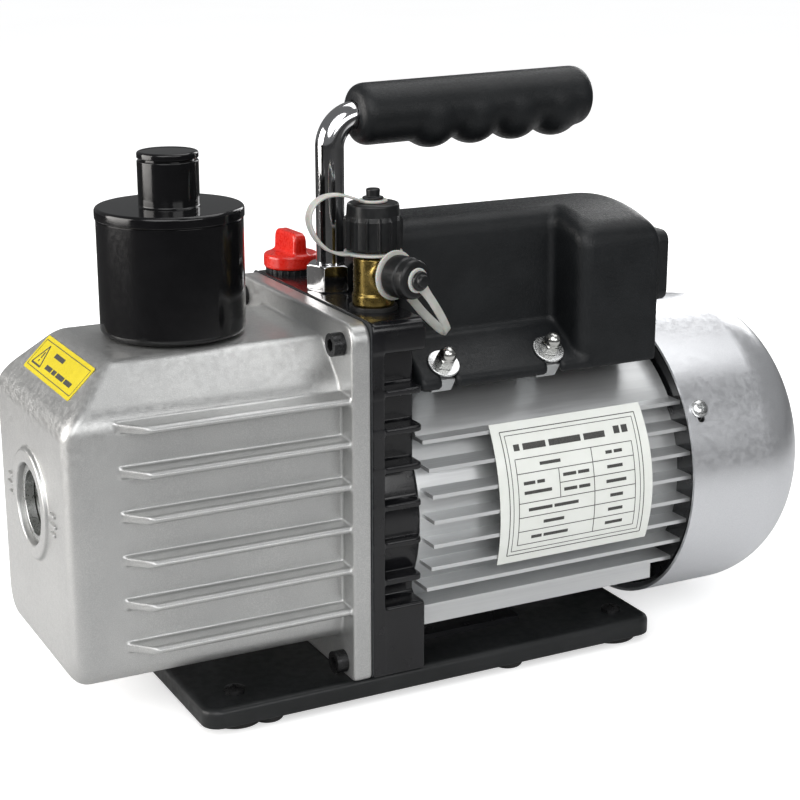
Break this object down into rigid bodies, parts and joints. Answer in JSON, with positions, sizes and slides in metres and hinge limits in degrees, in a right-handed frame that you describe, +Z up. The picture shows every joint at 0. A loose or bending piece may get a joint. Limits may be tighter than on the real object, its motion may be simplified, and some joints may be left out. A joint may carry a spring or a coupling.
{
  "type": "rotary vane vacuum pump",
  "caption": "Direct drive oil-sealed rotary vane vacuum pump with ribbed oil casing, finned motor, exhaust filter and carrying handle on a base plate.",
  "frame": {"origin": "on the floor under the rubber feet, at the centre of the pump's footprint, in the shaft's vertical plane", "axes": "+X along the shaft from the oil casing to the fan cover, +Z up, +Y across to the gas ballast side"},
  "size_m": [0.379, 0.148, 0.2714],
  "materials": {
    "black_paint": "semi-gloss black enamel",
    "foot_rubber": "matte",
    "black_screw": "black oxide",
    "bright_screw": "zinc plated",
    "silver_paint": "silver paint over an aluminium die casting",
    "black_casting": "black gloss paint over an aluminium casting",
    "gasket_paper": "matte fibre gasket",
    "sight_window": "clear window",
    "sight_ring": "threaded ring",
    "yellow_sticker": "printed film",
    "white_sticker": "printed film",
    "black_plastic": "fine grained",
    "black_gloss": "smooth moulded",
    "seal_rubber": "moulded",
    "filter_fibre": "pleated fibre",
    "machined_iron": "machined",
    "vane_composite": "ground resin composite",
    "spring_steel": "spring steel",
    "seal_brown": "moulded",
    "ground_steel": "ground",
    "motor_silver": "bare and painted ribbed extrusion",
    "core_steel": "stacked laminations",
    "copper_wire": "varnished copper windings",
    "cover_silver": "metallic silver paint on pressed sheet",
    "chrome_bright": "polished",
    "nickel_bright": "polished",
    "can_metal": "drawn can",
    "red_plastic": "moulded",
    "brass_raw": "turned",
    "cap_plastic": "moulded",
    "strap_plastic": "soft translucent"
  },
  "bodies": {
    "pump_body": {"base_plate": "black_paint", "rubber_feet": "foot_rubber", "foot_screws": "black_screw", "base_screws": "black_screw", "support_casting": "black_casting", "oil_casing": "silver_paint", "casing_gasket": "gasket_paper", "casing_screws": "black_screw", "sight_glass": "sight_window", "sight_glass_ring": "sight_ring", "warning_label": "yellow_sticker", "drain_seal": "seal_rubber", "pump_cylinder": "machined_iron", "pump_end_cover": "machined_iron", "pump_screws": "black_screw", "reed_stop": "bright_screw", "shaft_seal": "seal_brown", "front_bearing": "ground_steel", "rear_bearing": "ground_steel", "motor_housing": "motor_silver", "motor_cradle": "black_casting", "stator_core": "core_steel", "stator_windings": "copper_wire", "end_shield": "black_casting", "fan_cover": "cover_silver", "cover_screws": "bright_screw", "rating_label": "white_sticker", "control_box": "black_plastic", "box_studs": "bright_screw", "box_washers": "bright_screw", "acorn_nuts": "nickel_bright", "run_capacitor": "can_metal", "switch_panel": "black_plastic", "power_inlet": "black_gloss", "handle_rod": "chrome_bright", "handle_nut": "chrome_bright", "handle_grip": "black_plastic", "inlet_tee": "brass_raw", "tee_seal": "seal_rubber", "top_strap": "strap_plastic", "side_strap": "strap_plastic", "ballast_valve": "black_plastic"},
    "rotor": {"pump_rotor": "ground_steel", "vanes": "vane_composite", "vane_springs": "spring_steel", "drive_shaft": "ground_steel", "motor_rotor": "core_steel", "cooling_fan": "black_plastic"},
    "drain": {"drain_plug": "black_plastic"},
    "filter": {"filter_housing": "black_gloss", "filter_lid": "black_gloss", "filter_element": "filter_fibre", "filter_seal": "seal_rubber"},
    "outlet": {"outlet_cap": "black_gloss"},
    "reed": {"exhaust_reed": "spring_steel"},
    "ballast": {"ballast_knob": "red_plastic"},
    "inlet_cap": {"top_cap": "cap_plastic"},
    "port_cap": {"side_cap": "cap_plastic"},
    "rocker": {"rocker_switch": "red_plastic"}
  },
  "joints": [
    {"name": "shaft_spin", "type": "hinge", "parent": "pump_body", "child": "rotor", "pos_m": [-0.055, 0, 0.08], "axis": [1, 0, 0], "continuous": true},
    {"name": "drain_unscrew", "type": "slide", "parent": "pump_body", "child": "drain", "axis": [0, 0, -1], "range_m": [0, 0.015]},
    {"name": "filter_unscrew", "type": "slide", "parent": "pump_body", "child": "filter", "axis": [0, 0, 1], "range_m": [0, 0.04]},
    {"name": "outlet_cap_pull", "type": "slide", "parent": "filter", "child": "outlet", "axis": [0, 0, 1], "range_m": [0, 0.02]},
    {"name": "reed_lift", "type": "hinge", "parent": "pump_body", "child": "reed", "pos_m": [-0.067, 0.009, 0.12032], "axis": [0, 1, 0], "range_deg": [0, 6]},
    {"name": "ballast_turn", "type": "hinge", "parent": "pump_body", "child": "ballast", "pos_m": [-0.041, 0.0515, 0.176], "axis": [0, 0, 1], "range_deg": [0, 180]},
    {"name": "top_cap_unscrew", "type": "slide", "parent": "pump_body", "child": "inlet_cap", "axis": [0, 0, 1], "range_m": [0, 0.02]},
    {"name": "side_cap_unscrew", "type": "slide", "parent": "pump_body", "child": "port_cap", "axis": [0.2588, -0.9659, 0], "range_m": [0, 0.015]},
    {"name": "rocker_tip", "type": "hinge", "parent": "pump_body", "child": "rocker", "pos_m": [0.0995, -0.036, 0.1845], "axis": [0, 1, 0], "range_deg": [0, 24]}
  ]
}
